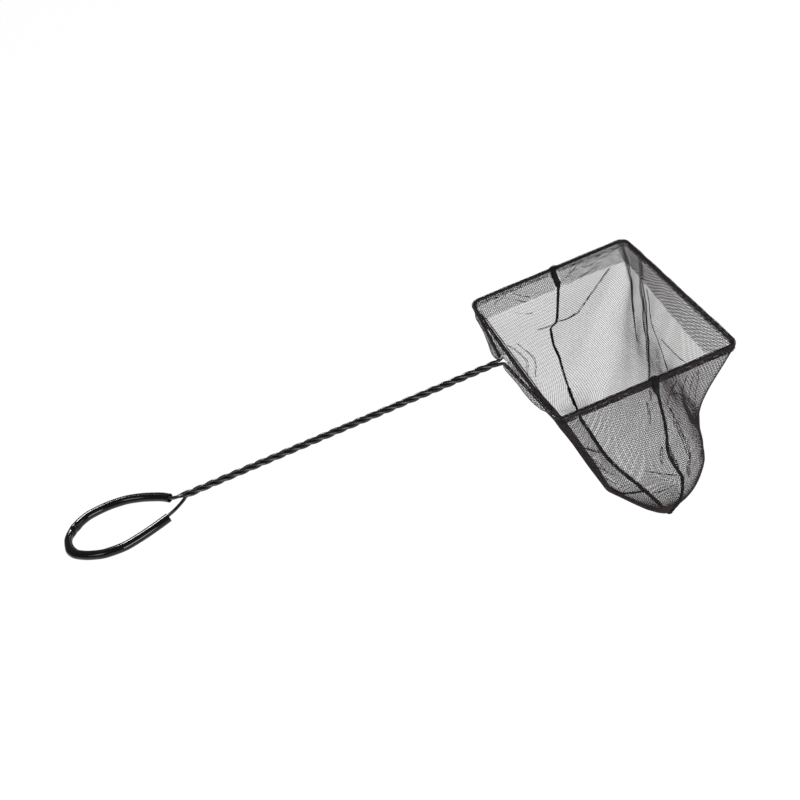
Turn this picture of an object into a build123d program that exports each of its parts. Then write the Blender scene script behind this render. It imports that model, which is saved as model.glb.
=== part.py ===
from build123d import *
import math
import os

# Aquarium fish net: a hoop of coated wire whose ends are twisted into a shaft and a hand loop, with a
# sewn net bag hung in the hoop. Millimetres. X runs from the hand loop to the hoop, Z is up out of the
# bag's mouth, +Y is the left side, and the origin is the middle of the hand loop.

# Wire
wire_d = 2.2
strand_gap = 0.1

# Hoop, between wire centres
hoop_depth = 120.0
hoop_width = 150.0
hoop_corner_r = 6.0
vee_depth = 7.0

# Twisted shaft, from the neck of the loop to the crotch of the vee
shaft_length = 226.5
neck_run = 4.0
twist_turns = 8.495
strand_count = 3
return_end_angle = 100.0
crotch_reach = 4.0
leg_reach = 5.0
cut_end_reach = 1.4
cut_end_lift = 1.3

# Hand loop and its sleeve
loop_length = 78.5
loop_width = 51.3
loop_tip_lean = 3.0
left_shoulder_x = -11.5
right_shoulder_x = -3.0
sleeve_od = 6.0
sleeve_bore_d = 4.6
sleeve_clearance = 0.07
left_mouth_setback = 7.0
left_mouth_y = 4.6
left_mouth_angle = 38.0
right_mouth_setback = 9.5
right_mouth_y = -13.2
right_mouth_angle = 25.0
tuck_angle = 55.0
run_in_setback = 2.5
run_in_y = -1.45
run_in_z = -2.0
run_in_angle = 45.0

# Hem round the hoop wire
hem_clearance = 0.15
cloth_t = 0.45
hem_tail = 5.0
flap_top = 2.5
flap_bottom = 13.0
flap_gap = 0.1
thread_d = 0.5
thread_seat = 0.03
stitch_depth = 3.4
crotch_slit = 6.0
web_setback = 2.0

# Net bag, by its levels: how far each bulges past the hoop's width, and how far its near front corner
# is drawn in and its far one let out
panel_t = 0.9
bag_depth = 132.0
collar_depth = 16.0
waist_depth = 50.0
waist_x = 87.0
waist_bulge = 9.0
waist_r = 15.0
waist_shift = -2.5
waist_lean = 9.0
belly_rise = 36.0
belly_x = 61.0
belly_bulge = 12.0
belly_r = 22.0
belly_shift = 1.5
belly_lean = 2.7
turn_rise = 12.0
turn_x = 34.0
turn_bulge = -2.0
turn_r = 16.0
turn_shift = 3.0
foot_x = 17.0
foot_bulge = -28.0
foot_r = 8.2

# Openings in the panels, on the net's diagonal
mesh_pitch = 20.0
mesh_bar = 2.4
mesh_top = 26.0
mesh_rows = 5
mesh_columns = 6
mesh_edge = 6.0

# Seams of the bag
seam_shift = 4.0
seam_w = 1.8
seam_proud = 1.0
seam_inside = 1.2
bottom_seam_rise = 20.0
tack_length = 5.0
tack_d = 4.6
tack_t = 3.0

# Places worked out from the sizes above
neck_x = loop_length / 2
tip_x = sleeve_od / 2 - loop_length / 2
left_mouth_x = neck_x - left_mouth_setback
right_mouth_x = neck_x - right_mouth_setback
crotch_x = neck_x + shaft_length
back_x = crotch_x + vee_depth
front_x = back_x + hoop_depth
hoop_x = (back_x + front_x) / 2
rail_y = hoop_width / 2
seam_x = hoop_x + seam_shift
shoulder_y = (loop_width - sleeve_od) / 2
hem_id = wire_d + 2 * hem_clearance
hem_od = hem_id + 2 * cloth_t
tack_half = tack_length / 2
big = 2 * (hoop_depth + hoop_width)

# Lay of the twist
twist_start = neck_x + neck_run
twist_end = crotch_x - crotch_reach
twist_pitch = (twist_end - twist_start) / twist_turns
lay_angle = math.atan(2 * math.pi * wire_d / math.sqrt(strand_count) / twist_pitch)
strand_r = (wire_d + strand_gap) / (2 * math.sin(math.pi / strand_count) * math.cos(lay_angle))
stations_per_turn = 4
straight = 1e-6

up = Vector(0, 0, 1)


def flat_heading(degrees):
    """Heading in the plane of the hoop."""
    return Vector(math.cos(math.radians(degrees)), math.sin(math.radians(degrees)), 0)


def arc_middle(start, heading, end):
    """Middle of the arc that leaves start along heading and reaches end, or None on a straight run."""
    chord = end - start
    along = chord.normalized()
    aside = heading - along * heading.dot(along)
    if aside.length < straight:
        return None
    half_angle = math.atan2(aside.length, heading.dot(along)) / 2
    return start + chord * 0.5 + aside.normalized() * (chord.length / 2 * math.tan(half_angle))


def biarc_joint(start, heading, end, end_heading):
    """Point and heading where the two arcs between two stations meet."""
    chord = end - start
    forward = chord.dot(heading + end_heading)
    bend = 1 - heading.dot(end_heading)
    if bend < straight:
        reach = chord.dot(chord) / (2 * forward)
    else:
        reach = (math.sqrt(forward**2 + 2 * bend * chord.dot(chord)) - forward) / (2 * bend)
    first = start + heading * reach
    second = end - end_heading * reach
    return (first + second) * 0.5, (second - first).normalized()


def with_joints(stations):
    """Stations with the joint of each pair of arcs put between them."""
    full = [stations[0]]
    for (start, heading), (end, end_heading) in zip(stations, stations[1:]):
        full.append(biarc_joint(start, heading, end, end_heading))
        full.append((end, end_heading))
    return full


def draw_arcs(stations):
    """Draw one tangent arc from each station to the next."""
    for (start, heading), (end, _) in zip(stations, stations[1:]):
        middle = arc_middle(start, heading, end)
        if middle is None:
            Line(start, end)
        else:
            ThreePointArc(start, middle, end)


def shifted(stations, outward, lift):
    """The same route moved to the outside of the loop and upwards."""
    return [(p + t.cross(up) * outward + up * lift, t) for p, t in stations]


def twist_stations(end_angle):
    """Stations of one strand round the shaft, from the neck to the crotch."""
    steps = max(4, round(twist_turns * stations_per_turn))
    stations = []
    for step in range(steps + 1):
        x = twist_start + (twist_end - twist_start) * step / steps
        angle = math.radians(end_angle) - 2 * math.pi * (twist_end - x) / twist_pitch
        place = Vector(x, strand_r * math.cos(angle), strand_r * math.sin(angle))
        heading = Vector(twist_pitch / (2 * math.pi), 0, 0)
        heading += Vector(0, -strand_r * math.sin(angle), strand_r * math.cos(angle))
        stations.append((place, heading.normalized()))
    return stations


def start_plane(line):
    """Plane across the start of a flat route, its x axis up and its y axis to the right of the route."""
    return Plane(origin=line @ 0, x_dir=(0, 0, 1), z_dir=line % 0)


def section_plane(line):
    """Plane across the start of any route."""
    return Plane(origin=line @ 0, z_dir=line % 0)


def hem_corners(end_x):
    """Corners of the half of the hoop that ends at end_x, in the order that keeps the bag on the right."""
    side = math.copysign(1, end_x - seam_x)
    return [
        (seam_x + side * tack_half, side * rail_y),
        (end_x, side * rail_y),
        (end_x, -side * rail_y),
        (seam_x + side * tack_half, -side * rail_y),
    ]


def bag_levels(grow):
    """Depth, place, width, length, corner radius and lean of the bag's level sections, grown outwards."""
    rim = (0, hoop_depth + panel_t, panel_t, hoop_corner_r + panel_t / 2, 0)
    levels = [
        (collar_depth, *rim),
        (waist_depth, waist_shift, waist_x, waist_bulge, waist_r, waist_lean),
        (bag_depth - belly_rise, belly_shift, belly_x, belly_bulge, belly_r, belly_lean),
        (bag_depth - turn_rise, turn_shift, turn_x, turn_bulge, turn_r, 0),
        (bag_depth + grow, seam_shift, foot_x, foot_bulge, foot_r, 0),
    ]
    return [
        (depth, hoop_x + shift, width + 2 * grow, hoop_width + bulge + 2 * grow, radius + grow, lean)
        for depth, shift, width, bulge, radius, lean in levels
    ]


def bag_section(depth, x, width, length, radius, lean):
    """One level section of the bag."""
    front = x + width / 2
    back = x - width / 2
    side = length / 2
    with BuildSketch(Plane.XY.offset(-depth)) as section:
        with BuildLine():
            Polyline((back, side), (front + lean, side), (front - lean, -side), (back, -side), close=True)
        make_face()
        fillet(section.vertices(), radius)
    return section.sketch


def add_pouch(grow, mode):
    """Collar and lofted body of the bag as one solid, grown outwards from the net."""
    levels = bag_levels(grow)
    rim = (hem_tail, *levels[0][1:])
    loft([bag_section(*rim), bag_section(*levels[0])], mode=mode)
    loft([bag_section(*level) for level in levels], mode=mode)


def wall_reach(depth, side):
    """Distance from the seam to the front wall, side 1, or the back wall, side -1, at a depth."""
    walls = [(d, side * (x - seam_x) + width / 2 - lean) for d, x, width, _, _, lean in bag_levels(0)]
    for (above, here), (below, there) in zip(walls, walls[1:]):
        if above <= depth <= below:
            return here + (there - here) * (depth - above) / (below - above)
    return 0


def side_openings(side):
    """Places of the openings in one panel's side walls, in staggered rows as far as the wall reaches."""
    places = []
    half = mesh_pitch / 2
    for row in range(2 * mesh_rows - 1):
        depth = mesh_top + row * half
        out = mesh_edge + half + row % 2 * half
        while out + half + mesh_edge < wall_reach(depth + half, side):
            places.append((seam_x + side * out, -depth))
            out += mesh_pitch
    return places


def cut_mesh(side):
    """Cut the openings through one panel's end wall and both its side walls."""
    opening = mesh_pitch / math.sqrt(2) - mesh_bar
    middle = mesh_top + (mesh_rows - 1) * mesh_pitch / 2
    with BuildSketch(Plane.YZ.offset(seam_x)) as end_wall:
        with Locations((0, -middle)):
            with GridLocations(mesh_pitch, mesh_pitch, mesh_columns, mesh_rows):
                Rectangle(opening, opening, rotation=45)
            with GridLocations(mesh_pitch, mesh_pitch, mesh_columns - 1, mesh_rows - 1):
                Rectangle(opening, opening, rotation=45)
    extrude(end_wall.sketch, amount=side * big, mode=Mode.SUBTRACT)
    with BuildSketch(Plane.XZ) as side_wall:
        with Locations(*side_openings(side)):
            Rectangle(opening, opening, rotation=45)
    extrude(side_wall.sketch, amount=big, both=True, mode=Mode.SUBTRACT)


def save(builder, name):
    """Name a finished piece and write its file."""
    builder.part.label = name
    export_step(builder.part, f"parts/{name}.step")


os.makedirs("parts", exist_ok=True)

# Route of the sleeve round the loop, from its left mouth to its right mouth
wire_offset = (sleeve_bore_d - wire_d) / 2 - sleeve_clearance
wire_inward = wire_offset * math.cos(math.radians(tuck_angle))
wire_lift = wire_offset * math.sin(math.radians(tuck_angle))
sleeve_route = with_joints(
    [
        (Vector(left_mouth_x, left_mouth_y, -wire_lift), flat_heading(180 - left_mouth_angle)),
        (Vector(left_shoulder_x, shoulder_y, -wire_lift), flat_heading(180)),
        (Vector(tip_x, loop_tip_lean, -wire_lift), flat_heading(-90)),
        (Vector(right_shoulder_x, -shoulder_y, -wire_lift), flat_heading(0)),
        (Vector(right_mouth_x, right_mouth_y, -wire_lift), flat_heading(right_mouth_angle)),
    ]
)
loop_route = shifted(sleeve_route, -wire_inward, wire_lift)
tuck_route = shifted(sleeve_route, wire_inward, -wire_lift)

# Ends of the strands at the crotch
left_leg = Vector(vee_depth, rail_y, 0).normalized()
right_leg = Vector(vee_depth, -rail_y, 0).normalized()
crotch = Vector(crotch_x, 0, 0)
left_leg_start = crotch + left_leg * leg_reach
right_leg_start = crotch + right_leg * leg_reach
strand_step = 360 / strand_count

# Left strand: from the loop's left arm up the shaft to the hoop's left leg
left_mouth, left_inward = loop_route[0]
left_stations = [(left_mouth, left_inward * -1)]
left_stations += twist_stations(return_end_angle - strand_step)
left_stations += [(left_leg_start, left_leg)]
with BuildPart() as strand_left:
    with BuildLine() as strand_left_path:
        draw_arcs(with_joints(left_stations))
    with BuildSketch(section_plane(strand_left_path.line)):
        Circle(wire_d / 2)
    sweep()
save(strand_left, "strand_left")

# Right strand: its end is tucked into the sleeve's left mouth, and it runs up to the hoop's right leg
tuck_end, tuck_end_inward = tuck_route[1]
tuck_mouth, tuck_inward = tuck_route[0]
right_stations = [(tuck_end, tuck_end_inward * -1), (tuck_mouth, tuck_inward * -1)]
right_stations += twist_stations(return_end_angle + strand_step)
right_stations += [(right_leg_start, right_leg)]
with BuildPart() as strand_right:
    with BuildLine() as strand_right_path:
        draw_arcs(with_joints(right_stations))
    with BuildSketch(section_plane(strand_right_path.line)):
        Circle(wire_d / 2)
    sweep()
save(strand_right, "strand_right")

# Return strand: straight from the loop's right arm to the neck, under the others, up the shaft to a cut
# end that lifts over the crotch
return_end = Vector(crotch_x + cut_end_reach, 0, strand_r + cut_end_lift)
return_heading = Vector(cut_end_reach + crotch_reach, 0, cut_end_lift * 2).normalized()
run_in = Vector(twist_start - run_in_setback, run_in_y, run_in_z)
return_stations = [loop_route[-1], (run_in, flat_heading(run_in_angle))]
return_stations += twist_stations(return_end_angle)
return_stations += [(return_end, return_heading)]
with BuildPart() as strand_return:
    with BuildLine() as strand_return_path:
        draw_arcs(with_joints(return_stations))
    with BuildSketch(section_plane(strand_return_path.line)):
        Circle(wire_d / 2)
    sweep()
save(strand_return, "strand_return")

# Wire of the loop, inside the sleeve
with BuildPart() as loop_wire:
    with BuildLine() as loop_wire_path:
        draw_arcs(loop_route)
    with BuildSketch(section_plane(loop_wire_path.line)):
        Circle(wire_d / 2)
    sweep()
save(loop_wire, "loop_wire")

# Soft sleeve threaded over the loop
with BuildPart() as grip_sleeve:
    with BuildLine() as grip_sleeve_path:
        draw_arcs(sleeve_route)
    with BuildSketch(section_plane(grip_sleeve_path.line)):
        Circle(sleeve_od / 2)
        Circle(sleeve_bore_d / 2, mode=Mode.SUBTRACT)
    sweep()
save(grip_sleeve, "grip_sleeve")

# Hoop, from the left leg of the vee round to the right leg
hoop_corners = [(back_x, rail_y), (front_x, rail_y), (front_x, -rail_y), (back_x, -rail_y)]
with BuildPart() as hoop_wire:
    with BuildLine() as hoop_path:
        FilletPolyline(left_leg_start, *hoop_corners, right_leg_start, radius=hoop_corner_r)
    with BuildSketch(section_plane(hoop_path.line)):
        Circle(wire_d / 2)
    sweep()
save(hoop_wire, "hoop_wire")

# Front hem: cloth folded round the wire, with both layers hanging below it
tail_top = hem_id / 2 + cloth_t / 2
tail_middle = -(tail_top + hem_tail) / 2
with BuildPart() as hem_front:
    with BuildLine() as hem_front_path:
        FilletPolyline(*hem_corners(front_x), radius=hoop_corner_r)
    with BuildSketch(start_plane(hem_front_path.line)):
        Circle(hem_od / 2)
        with Locations((tail_middle, 0)):
            Rectangle(hem_tail - tail_top, 2 * cloth_t)
        Circle(hem_id / 2, mode=Mode.SUBTRACT)
    sweep()
save(hem_front, "hem_front")

# Back hem: tunnels round the side rails and the legs of the vee, a straight stitched tail between the
# corners, and the flat web of net between that tail and the legs, slit open where the shaft comes out
leg_slope = vee_depth / rail_y
with BuildPart() as hem_back:
    for side in (1, -1):
        with BuildLine() as hem_back_path:
            FilletPolyline(
                (seam_x - tack_half, side * rail_y),
                (back_x, side * rail_y),
                (crotch_x + crotch_slit * leg_slope, side * crotch_slit),
                radius=hoop_corner_r,
            )
        with BuildSketch(start_plane(hem_back_path.line)):
            Circle(hem_od / 2)
        sweep()
    with BuildLine() as hem_tail_path:
        FilletPolyline(*hem_corners(back_x), radius=hoop_corner_r)
    with BuildSketch(start_plane(hem_tail_path.line)):
        with Locations((-hem_tail / 2, 0)):
            Rectangle(hem_tail, 2 * cloth_t)
    sweep()
    with BuildSketch(Plane.XY.offset(-cloth_t)):
        with BuildLine():
            Polyline(
                (back_x, rail_y - hoop_corner_r),
                (crotch_x + web_setback, web_setback / leg_slope),
                (crotch_x + web_setback, -web_setback / leg_slope),
                (back_x, hoop_corner_r - rail_y),
                close=True,
            )
        make_face()
    extrude(amount=2 * cloth_t)
    with BuildLine() as hem_bore_path:
        FilletPolyline(left_leg_start, *hoop_corners, right_leg_start, radius=hoop_corner_r)
    with BuildSketch(section_plane(hem_bore_path.line)):
        Circle(hem_id / 2)
    sweep(mode=Mode.SUBTRACT)
save(hem_back, "hem_back")

# Hem allowance hanging inside the mouth, one strip to each half of the hoop
flap_inward = cloth_t + flap_gap + cloth_t / 2
flap_middle = -(flap_top + flap_bottom) / 2
with BuildPart() as hem_flap_front:
    with BuildLine() as flap_front_path:
        FilletPolyline(*hem_corners(front_x), radius=hoop_corner_r)
    with BuildSketch(start_plane(flap_front_path.line)):
        with Locations((flap_middle, flap_inward)):
            Rectangle(flap_bottom - flap_top, cloth_t)
    sweep()
save(hem_flap_front, "hem_flap_front")

with BuildPart() as hem_flap_back:
    with BuildLine() as flap_back_path:
        FilletPolyline(*hem_corners(back_x), radius=hoop_corner_r)
    with BuildSketch(start_plane(flap_back_path.line)):
        with Locations((flap_middle, flap_inward)):
            Rectangle(flap_bottom - flap_top, cloth_t)
    sweep()
save(hem_flap_back, "hem_flap_back")

# Thread that closes the hem, on its outer face
thread_outward = cloth_t + thread_d / 2 + thread_seat
with BuildPart() as stitching_front:
    with BuildLine() as stitch_front_path:
        FilletPolyline(*hem_corners(front_x), radius=hoop_corner_r)
    with BuildSketch(start_plane(stitch_front_path.line)):
        with Locations((-stitch_depth, -thread_outward)):
            Circle(thread_d / 2)
    sweep()
save(stitching_front, "stitching_front")

with BuildPart() as stitching_back:
    with BuildLine() as stitch_back_path:
        FilletPolyline(*hem_corners(back_x), radius=hoop_corner_r)
    with BuildSketch(start_plane(stitch_back_path.line)):
        with Locations((-stitch_depth, -thread_outward)):
            Circle(thread_d / 2)
    sweep()
save(stitching_back, "stitching_back")

# Net panels, cut apart by the seam, with a coarse grid of openings for the net's fine one
with BuildPart() as net_panel_front:
    add_pouch(0, Mode.ADD)
    add_pouch(-panel_t, Mode.SUBTRACT)
    split(bisect_by=Plane.YZ.offset(seam_x + seam_w / 2), keep=Keep.TOP)
    cut_mesh(1)
save(net_panel_front, "net_panel_front")

with BuildPart() as net_panel_back:
    add_pouch(0, Mode.ADD)
    add_pouch(-panel_t, Mode.SUBTRACT)
    split(bisect_by=Plane.YZ.offset(seam_x - seam_w / 2), keep=Keep.BOTTOM)
    cut_mesh(-1)
save(net_panel_back, "net_panel_back")

# Overlocked seam between the panels: down the left side, along the bottom and up the right side
seam_break = bottom_seam_rise - bag_depth
for name, side in (("side_seam_left", 1), ("side_seam_right", -1)):
    with BuildPart() as side_seam:
        add_pouch(seam_proud, Mode.ADD)
        add_pouch(-panel_t - seam_inside, Mode.SUBTRACT)
        with Locations((seam_x, side * big / 2, seam_break + big / 2)):
            Box(seam_w, big, big, mode=Mode.INTERSECT)
    save(side_seam, name)

with BuildPart() as bottom_seam:
    add_pouch(seam_proud, Mode.ADD)
    add_pouch(-panel_t - seam_inside, Mode.SUBTRACT)
    with Locations((seam_x, 0, seam_break - big / 2)):
        Box(seam_w, big, big, mode=Mode.INTERSECT)
save(bottom_seam, "bottom_seam")

# Tacks where the side seams are caught into the hem
for name, side in (("seam_tack_left", 1), ("seam_tack_right", -1)):
    with BuildPart() as seam_tack:
        tack_end = (seam_x - tack_half, side * rail_y, 0)
        with BuildSketch(Plane(origin=tack_end, x_dir=(0, 0, 1), z_dir=(1, 0, 0))):
            Circle(tack_d / 2)
            with Locations((-hem_tail / 2, 0)):
                Rectangle(hem_tail, tack_t)
            Circle(hem_id / 2, mode=Mode.SUBTRACT)
        extrude(amount=tack_length)
    save(seam_tack, name)
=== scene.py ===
"""Aquarium fish net: nets, hems, seams, stitching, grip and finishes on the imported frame."""

import math

import bpy
import numpy as np
from mathutils import Matrix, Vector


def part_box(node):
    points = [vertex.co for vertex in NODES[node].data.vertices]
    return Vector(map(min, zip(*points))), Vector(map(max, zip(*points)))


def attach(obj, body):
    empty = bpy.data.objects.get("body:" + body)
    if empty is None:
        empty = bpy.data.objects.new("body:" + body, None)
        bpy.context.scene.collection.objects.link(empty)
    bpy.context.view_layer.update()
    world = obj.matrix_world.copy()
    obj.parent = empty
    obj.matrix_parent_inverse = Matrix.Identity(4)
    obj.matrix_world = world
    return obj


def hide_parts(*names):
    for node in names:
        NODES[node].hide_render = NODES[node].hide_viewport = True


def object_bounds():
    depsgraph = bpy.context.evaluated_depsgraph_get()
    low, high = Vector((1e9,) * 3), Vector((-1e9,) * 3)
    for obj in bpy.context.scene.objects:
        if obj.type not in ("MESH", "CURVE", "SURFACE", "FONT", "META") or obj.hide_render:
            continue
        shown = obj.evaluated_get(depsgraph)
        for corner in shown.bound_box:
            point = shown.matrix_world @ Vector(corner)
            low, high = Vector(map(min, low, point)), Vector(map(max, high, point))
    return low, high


bl_info = {
    "name": "Aquarium Fish Net",
    "version": (1, 0, 0),
    "blender": (4, 5, 0),
    "location": "View3D > Sidebar > Fish Net",
    "description": "Dresses the wire frame of a fish net with netting, hems, seams, a grip and a stage",
    "category": "Object",
}

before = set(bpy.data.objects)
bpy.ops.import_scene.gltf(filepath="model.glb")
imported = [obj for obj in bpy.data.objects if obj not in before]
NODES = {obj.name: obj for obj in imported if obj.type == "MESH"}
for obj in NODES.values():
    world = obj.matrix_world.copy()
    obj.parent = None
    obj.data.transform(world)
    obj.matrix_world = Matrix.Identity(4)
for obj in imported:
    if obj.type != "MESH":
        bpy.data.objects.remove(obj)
CAD_BOX = [list(corner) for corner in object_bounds()]
MM = 0.001

WIRE_NODES = ("hoop_wire", "strand_left", "strand_right", "strand_return", "loop_wire")
HOOP_LOW, HOOP_HIGH = (np.array(corner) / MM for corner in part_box("hoop_wire"))
BACK_LOW, FRONT_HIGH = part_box("net_panel_back")[0].x / MM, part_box("net_panel_front")[1].x / MM
TACK_LOW, TACK_HIGH = (np.array(corner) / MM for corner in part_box("seam_tack_left"))

# The bag is worked out in millimetres from the middle of the hoop: x to the front, y to the left, z up.
WIRE_R = (HOOP_HIGH[2] - HOOP_LOW[2]) / 2
HOOP_X = (BACK_LOW + FRONT_HIGH) / 2
HALF_X = HOOP_HIGH[0] - WIRE_R - HOOP_X
HALF_Y = HOOP_HIGH[1] - WIRE_R
CORNER_R = 6.0
# How far the hem's solid stands past the middle of the wire, and how far the vee is drawn out from the hoop.
HEM_PAST_WIRE = 1.2
VEE = HOOP_X - HALF_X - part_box("hem_back")[0].x / MM - HEM_PAST_WIRE
TACK_X = (TACK_LOW[0] + TACK_HIGH[0]) / 2 - HOOP_X
TACK_HALF = (TACK_HIGH[0] - TACK_LOW[0]) / 2
# How far a tack starts above the middle of the wire, and how long its thin tail is.
TACK_TOP, TACK_TAIL = 2.0, 3.5
UP = np.array((0.0, 0.0, 1.0))
# How far below the middle of the wire the hem is stitched, and its loose edge hangs on the near rail.
STITCH_DROP = 3.4
NEAR_ALLOWANCE = 6.0
# Which point of the hem's section lies at its stitches.
STITCH_POINT = 9
# How far the hem sags from the legs of the vee, and how much that varies.
LEG_SAG, LEG_SAG_CHANGE = 3.4, 1.5
# Slit in the back hem where the shaft leaves it: half its length along the rail, and how far across the cloth
# it keeps from the hem's first edge and from its loose edge.
SLIT_HALF, SLIT_FROM_START, SLIT_FROM_EDGE = 4.5, 4, 16
# How far a thread may cut across a bend of the cloth where points are left out.
THREAD_CUT = 0.05
# Sides of a net thread's section, and how far the net's diagonals are turned in the hems.
NET_SIDES = 3
HEM_BIAS = 34

# Levels of the bag: height, then x of the far front, near front, far back and near back corners, far and
# near half widths, the front corners' radius, and x and y where the back wall turns into its cut near corner.
BAG_LEVELS = np.array(
    [
        (-2.0, 61.0, 61.0, -61.0, -61.0, 76.0, 76.0, 7.0, -61.0, -73.0),
        (-5.0, 60.7, 58.5, -60.4, -60.4, 75.8, 75.8, 7.0, -60.4, -73.0),
        (-16.0, 60.0, 50.0, -56.9, -56.9, 75.5, 75.5, 8.0, -56.9, -73.0),
        (-27.0, 57.5, 41.0, -53.4, -53.4, 76.5, 76.5, 10.0, -53.4, -74.0),
        (-38.0, 54.0, 34.0, -50.1, -50.1, 78.0, 78.0, 12.0, -50.1, -75.0),
        (-46.0, 51.0, 31.5, -47.7, -47.7, 79.0, 79.5, 14.0, -47.7, -76.0),
        (-55.0, 48.0, 31.5, -45.0, -44.5, 80.0, 80.5, 17.0, -45.0, -76.0),
        (-75.0, 42.0, 34.0, -38.9, -35.0, 81.5, 81.5, 21.0, -38.9, -73.0),
        (-85.0, 38.0, 34.0, -35.9, -27.0, 81.5, 81.3, 22.0, -35.9, -64.0),
        (-96.0, 34.0, 30.0, -32.6, -19.5, 81.0, 79.8, 22.0, -32.6, -53.0),
        (-105.0, 30.0, 25.0, -29.9, -14.0, 79.5, 77.3, 20.0, -29.9, -44.0),
        (-112.0, 26.0, 20.5, -27.6, -9.5, 77.0, 74.0, 17.0, -27.6, -37.0),
        (-119.0, 21.0, 15.0, -25.0, -5.5, 74.0, 70.0, 13.0, -25.0, -30.0),
        (-124.0, 16.0, 12.0, -21.5, -2.5, 71.0, 67.0, 10.0, -21.0, -26.0),
        (-128.0, 9.0, 9.0, -14.0, 0.5, 67.0, 65.0, 6.0, -11.0, -25.0),
        (-132.0, -4.5, 4.5, -4.5, 4.5, 60.0, 61.5, 0.5, 1.8, -25.0),
    ]
)
# How far the bottom seam bows toward the handle, the rows of cloth over which that fades out, and the y of
# the bow's middle and its spread.
SEAM_BOW, BOW_ROWS, BOW_Y, BOW_SPREAD = 6.0, 30, 8, 38
# Height below which the seam counts as the bottom one.
BOTTOM_TURN = -112
# Courses of the two side seams: height and x.
SEAM_FAR = np.array(
    [
        (-2, 3.0),
        (-15, 4.8),
        (-38, 1.0),
        (-49.5, -1.2),
        (-50.5, -7.0),
        (-70, -7.0),
        (-83, -4.6),
        (-103, -4.2),
        (-132, -4.5),
    ]
)
SEAM_NEAR = np.array(
    [
        (-2, 4.2),
        (-20, 4.8),
        (-34, 5.4),
        (-45, 4.6),
        (-55, 2.8),
        (-68, 5.1),
        (-82, 10.0),
        (-100, 9.0),
        (-132, 4.5),
    ]
)

# Middle of the grip's tube seen from above, from its left mouth to its right mouth, then which of these
# places is kinked, and the sides of the tube's section.
GRIP_COURSE = (
    (32.25, 4.6),
    (28.2, 8.2),
    (23.0, 11.7),
    (12.5, 17.4),
    (1.6, 21.2),
    (-9.5, 22.4),
    (-20.6, 21.4),
    (-27.8, 18.2),
    (-32.6, 13.6),
    (-35.5, 9.5),
    (-37.0, 3.9),
    (-36.6, -4.0),
    (-33.9, -9.8),
    (-29.8, -13.6),
    (-23.1, -17.9),
    (-12.7, -21.9),
    (-2.1, -22.8),
    (8.7, -20.7),
    (19.9, -17.1),
    (29.7, -13.2),
)
GRIP_KINK = 8
GRIP_SIDES = 36
# How the tube is pressed in near the kink: distance along it from there, then the share of its inner half's
# width, and the share of its height.
GRIP_PINCH = ((-6, 1), (-2, 1.06), (0, 0.7), (1.5, 0.9), (3.5, 1.08), (7, 0.72), (17, 0.74), (25, 1))
GRIP_CROWN = ((-4, 1), (0, 1.12), (3, 0.88), (16, 0.9), (22, 1))

# Broad folds of the panels: height, width, then their places on the cloth, across and down.
FRONT_FOLDS = [
    (1.0, 2.2, (105, 24), (96, 39), (92, 52), (91, 64), (93, 78), (93, 86)),
]
BACK_FOLDS = [
    (-5.0, 20.0, (-38, 0), (-34, 50), (-20, 105), (20, 100), (25, 30)),
]
# Pleats: half widths from one end to the other, then their places on the cloth.
FRONT_PLEATS = [
    ((2.6, 1.8, 1.2, 0.5), (-77, 2), (-69, 25), (-51, 44), (-40, 64)),
    ((2.0, 3.2, 3.8, 2.8, 1.5, 0.6), (-54, 4), (-48, 22), (-37, 31), (-21, 50), (-17, 82), (-8, 95)),
    ((0.8, 2.5, 4.5, 3.5, 1.5), (107, 36), (104, 50), (104, 65), (102, 80), (98, 96)),
]
# Creases: threads drawn together, how far they stray, then their places on the cloth.
FRONT_CREASES = [
    (4, 0.4, (-85, 18), (-96, 33), (-106, 48), (-114, 50), (-121, 49)),
    (3, 0.35, (-103, 48), (-110, 50), (-117, 50)),
    (4, 0.4, (-39, 20), (-19, 36), (8, 44), (16, 52)),
    (3, 0.4, (0, 36), (19, 34), (39, 30)),
    (3, 0.4, (-52, 6), (-48, 22), (-37, 31), (-21, 50), (-17, 82), (-9, 96)),
    (3, 0.4, (-76, 4), (-69, 25), (-51, 44), (-40, 62)),
    (5, 0.4, (109, 14), (104, 16), (95, 22), (88, 29), (82, 38), (80, 46)),
    (6, 0.5, (105, 24), (96, 39), (92, 52), (91, 64), (93, 78), (93, 86)),
    (2, 0.35, (100, 5), (94, 19), (90, 28)),
    (2, 0.35, (105, 5), (100, 17), (96, 23)),
    (2, 0.35, (98, 4), (89, 20), (85, 30)),
    (2, 0.35, (112, 5), (111, 13), (108, 22)),
]
BACK_CREASES = [
    (3, 0.35, (118, 50), (113, 50), (107, 48)),
    (2, 0.4, (98, 22), (104, 27), (110, 30)),
    (3, 0.4, (-107, 64), (-116, 74), (-121, 81)),
    (3, 0.4, (-96, 86), (-105, 88), (-113, 88)),
    (3, 0.35, (-129, 12), (-127, 20), (-124, 30)),
    (4, 0.4, (-125, 50), (-122, 56), (-118, 66)),
    (3, 0.5, (88, 54), (91, 64), (93, 73), (85, 94)),
    (3, 0.5, (81, 50), (85, 62), (87, 74), (80, 88)),
    (12, 0.25, (-82, 70), (-84, 73), (-87, 75.5), (-92, 78), (-97, 80.5)),
    (7, 0.3, (-78, 22), (-84, 30), (-91, 38)),
    (2, 0.4, (-81, 34), (-84, 42), (-86, 53)),
    (2, 0.4, (-81, 42), (-85, 48), (-89, 56)),
    (2, 0.4, (-81, 48), (-84, 58), (-88, 68)),
]

# Width of the lighter and darker patches of dyed thread.
PATCH_MM = 12

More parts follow.
